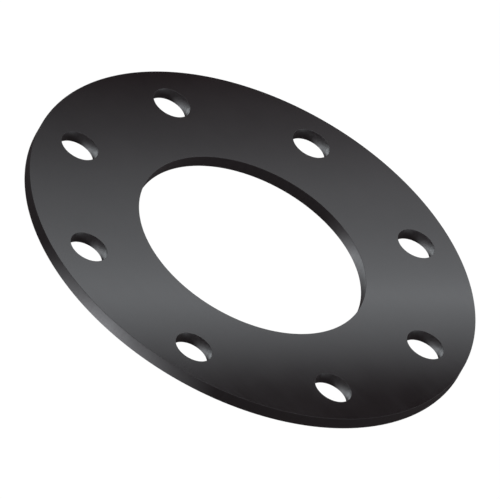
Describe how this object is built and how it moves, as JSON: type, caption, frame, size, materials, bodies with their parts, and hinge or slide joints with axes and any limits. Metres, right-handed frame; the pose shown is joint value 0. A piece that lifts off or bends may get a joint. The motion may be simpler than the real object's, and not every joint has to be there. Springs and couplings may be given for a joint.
{
  "type": "rubber flange gasket",
  "caption": "Flat full-face rubber flange gasket: a round ring with a central bore and a circle of bolt holes near its rim.",
  "frame": {"origin": "centre of the bore at the gasket's lower face", "axes": "+Z along the bore axis, out of the upper face; the bolt holes straddle the X and Y axes"},
  "size_m": [0.22, 0.22, 0.006],
  "materials": {
    "rubber": "smooth satin black sheet rubber"
  },
  "bodies": {
    "root": {"gasket": "rubber"}
  },
  "joints": []
}
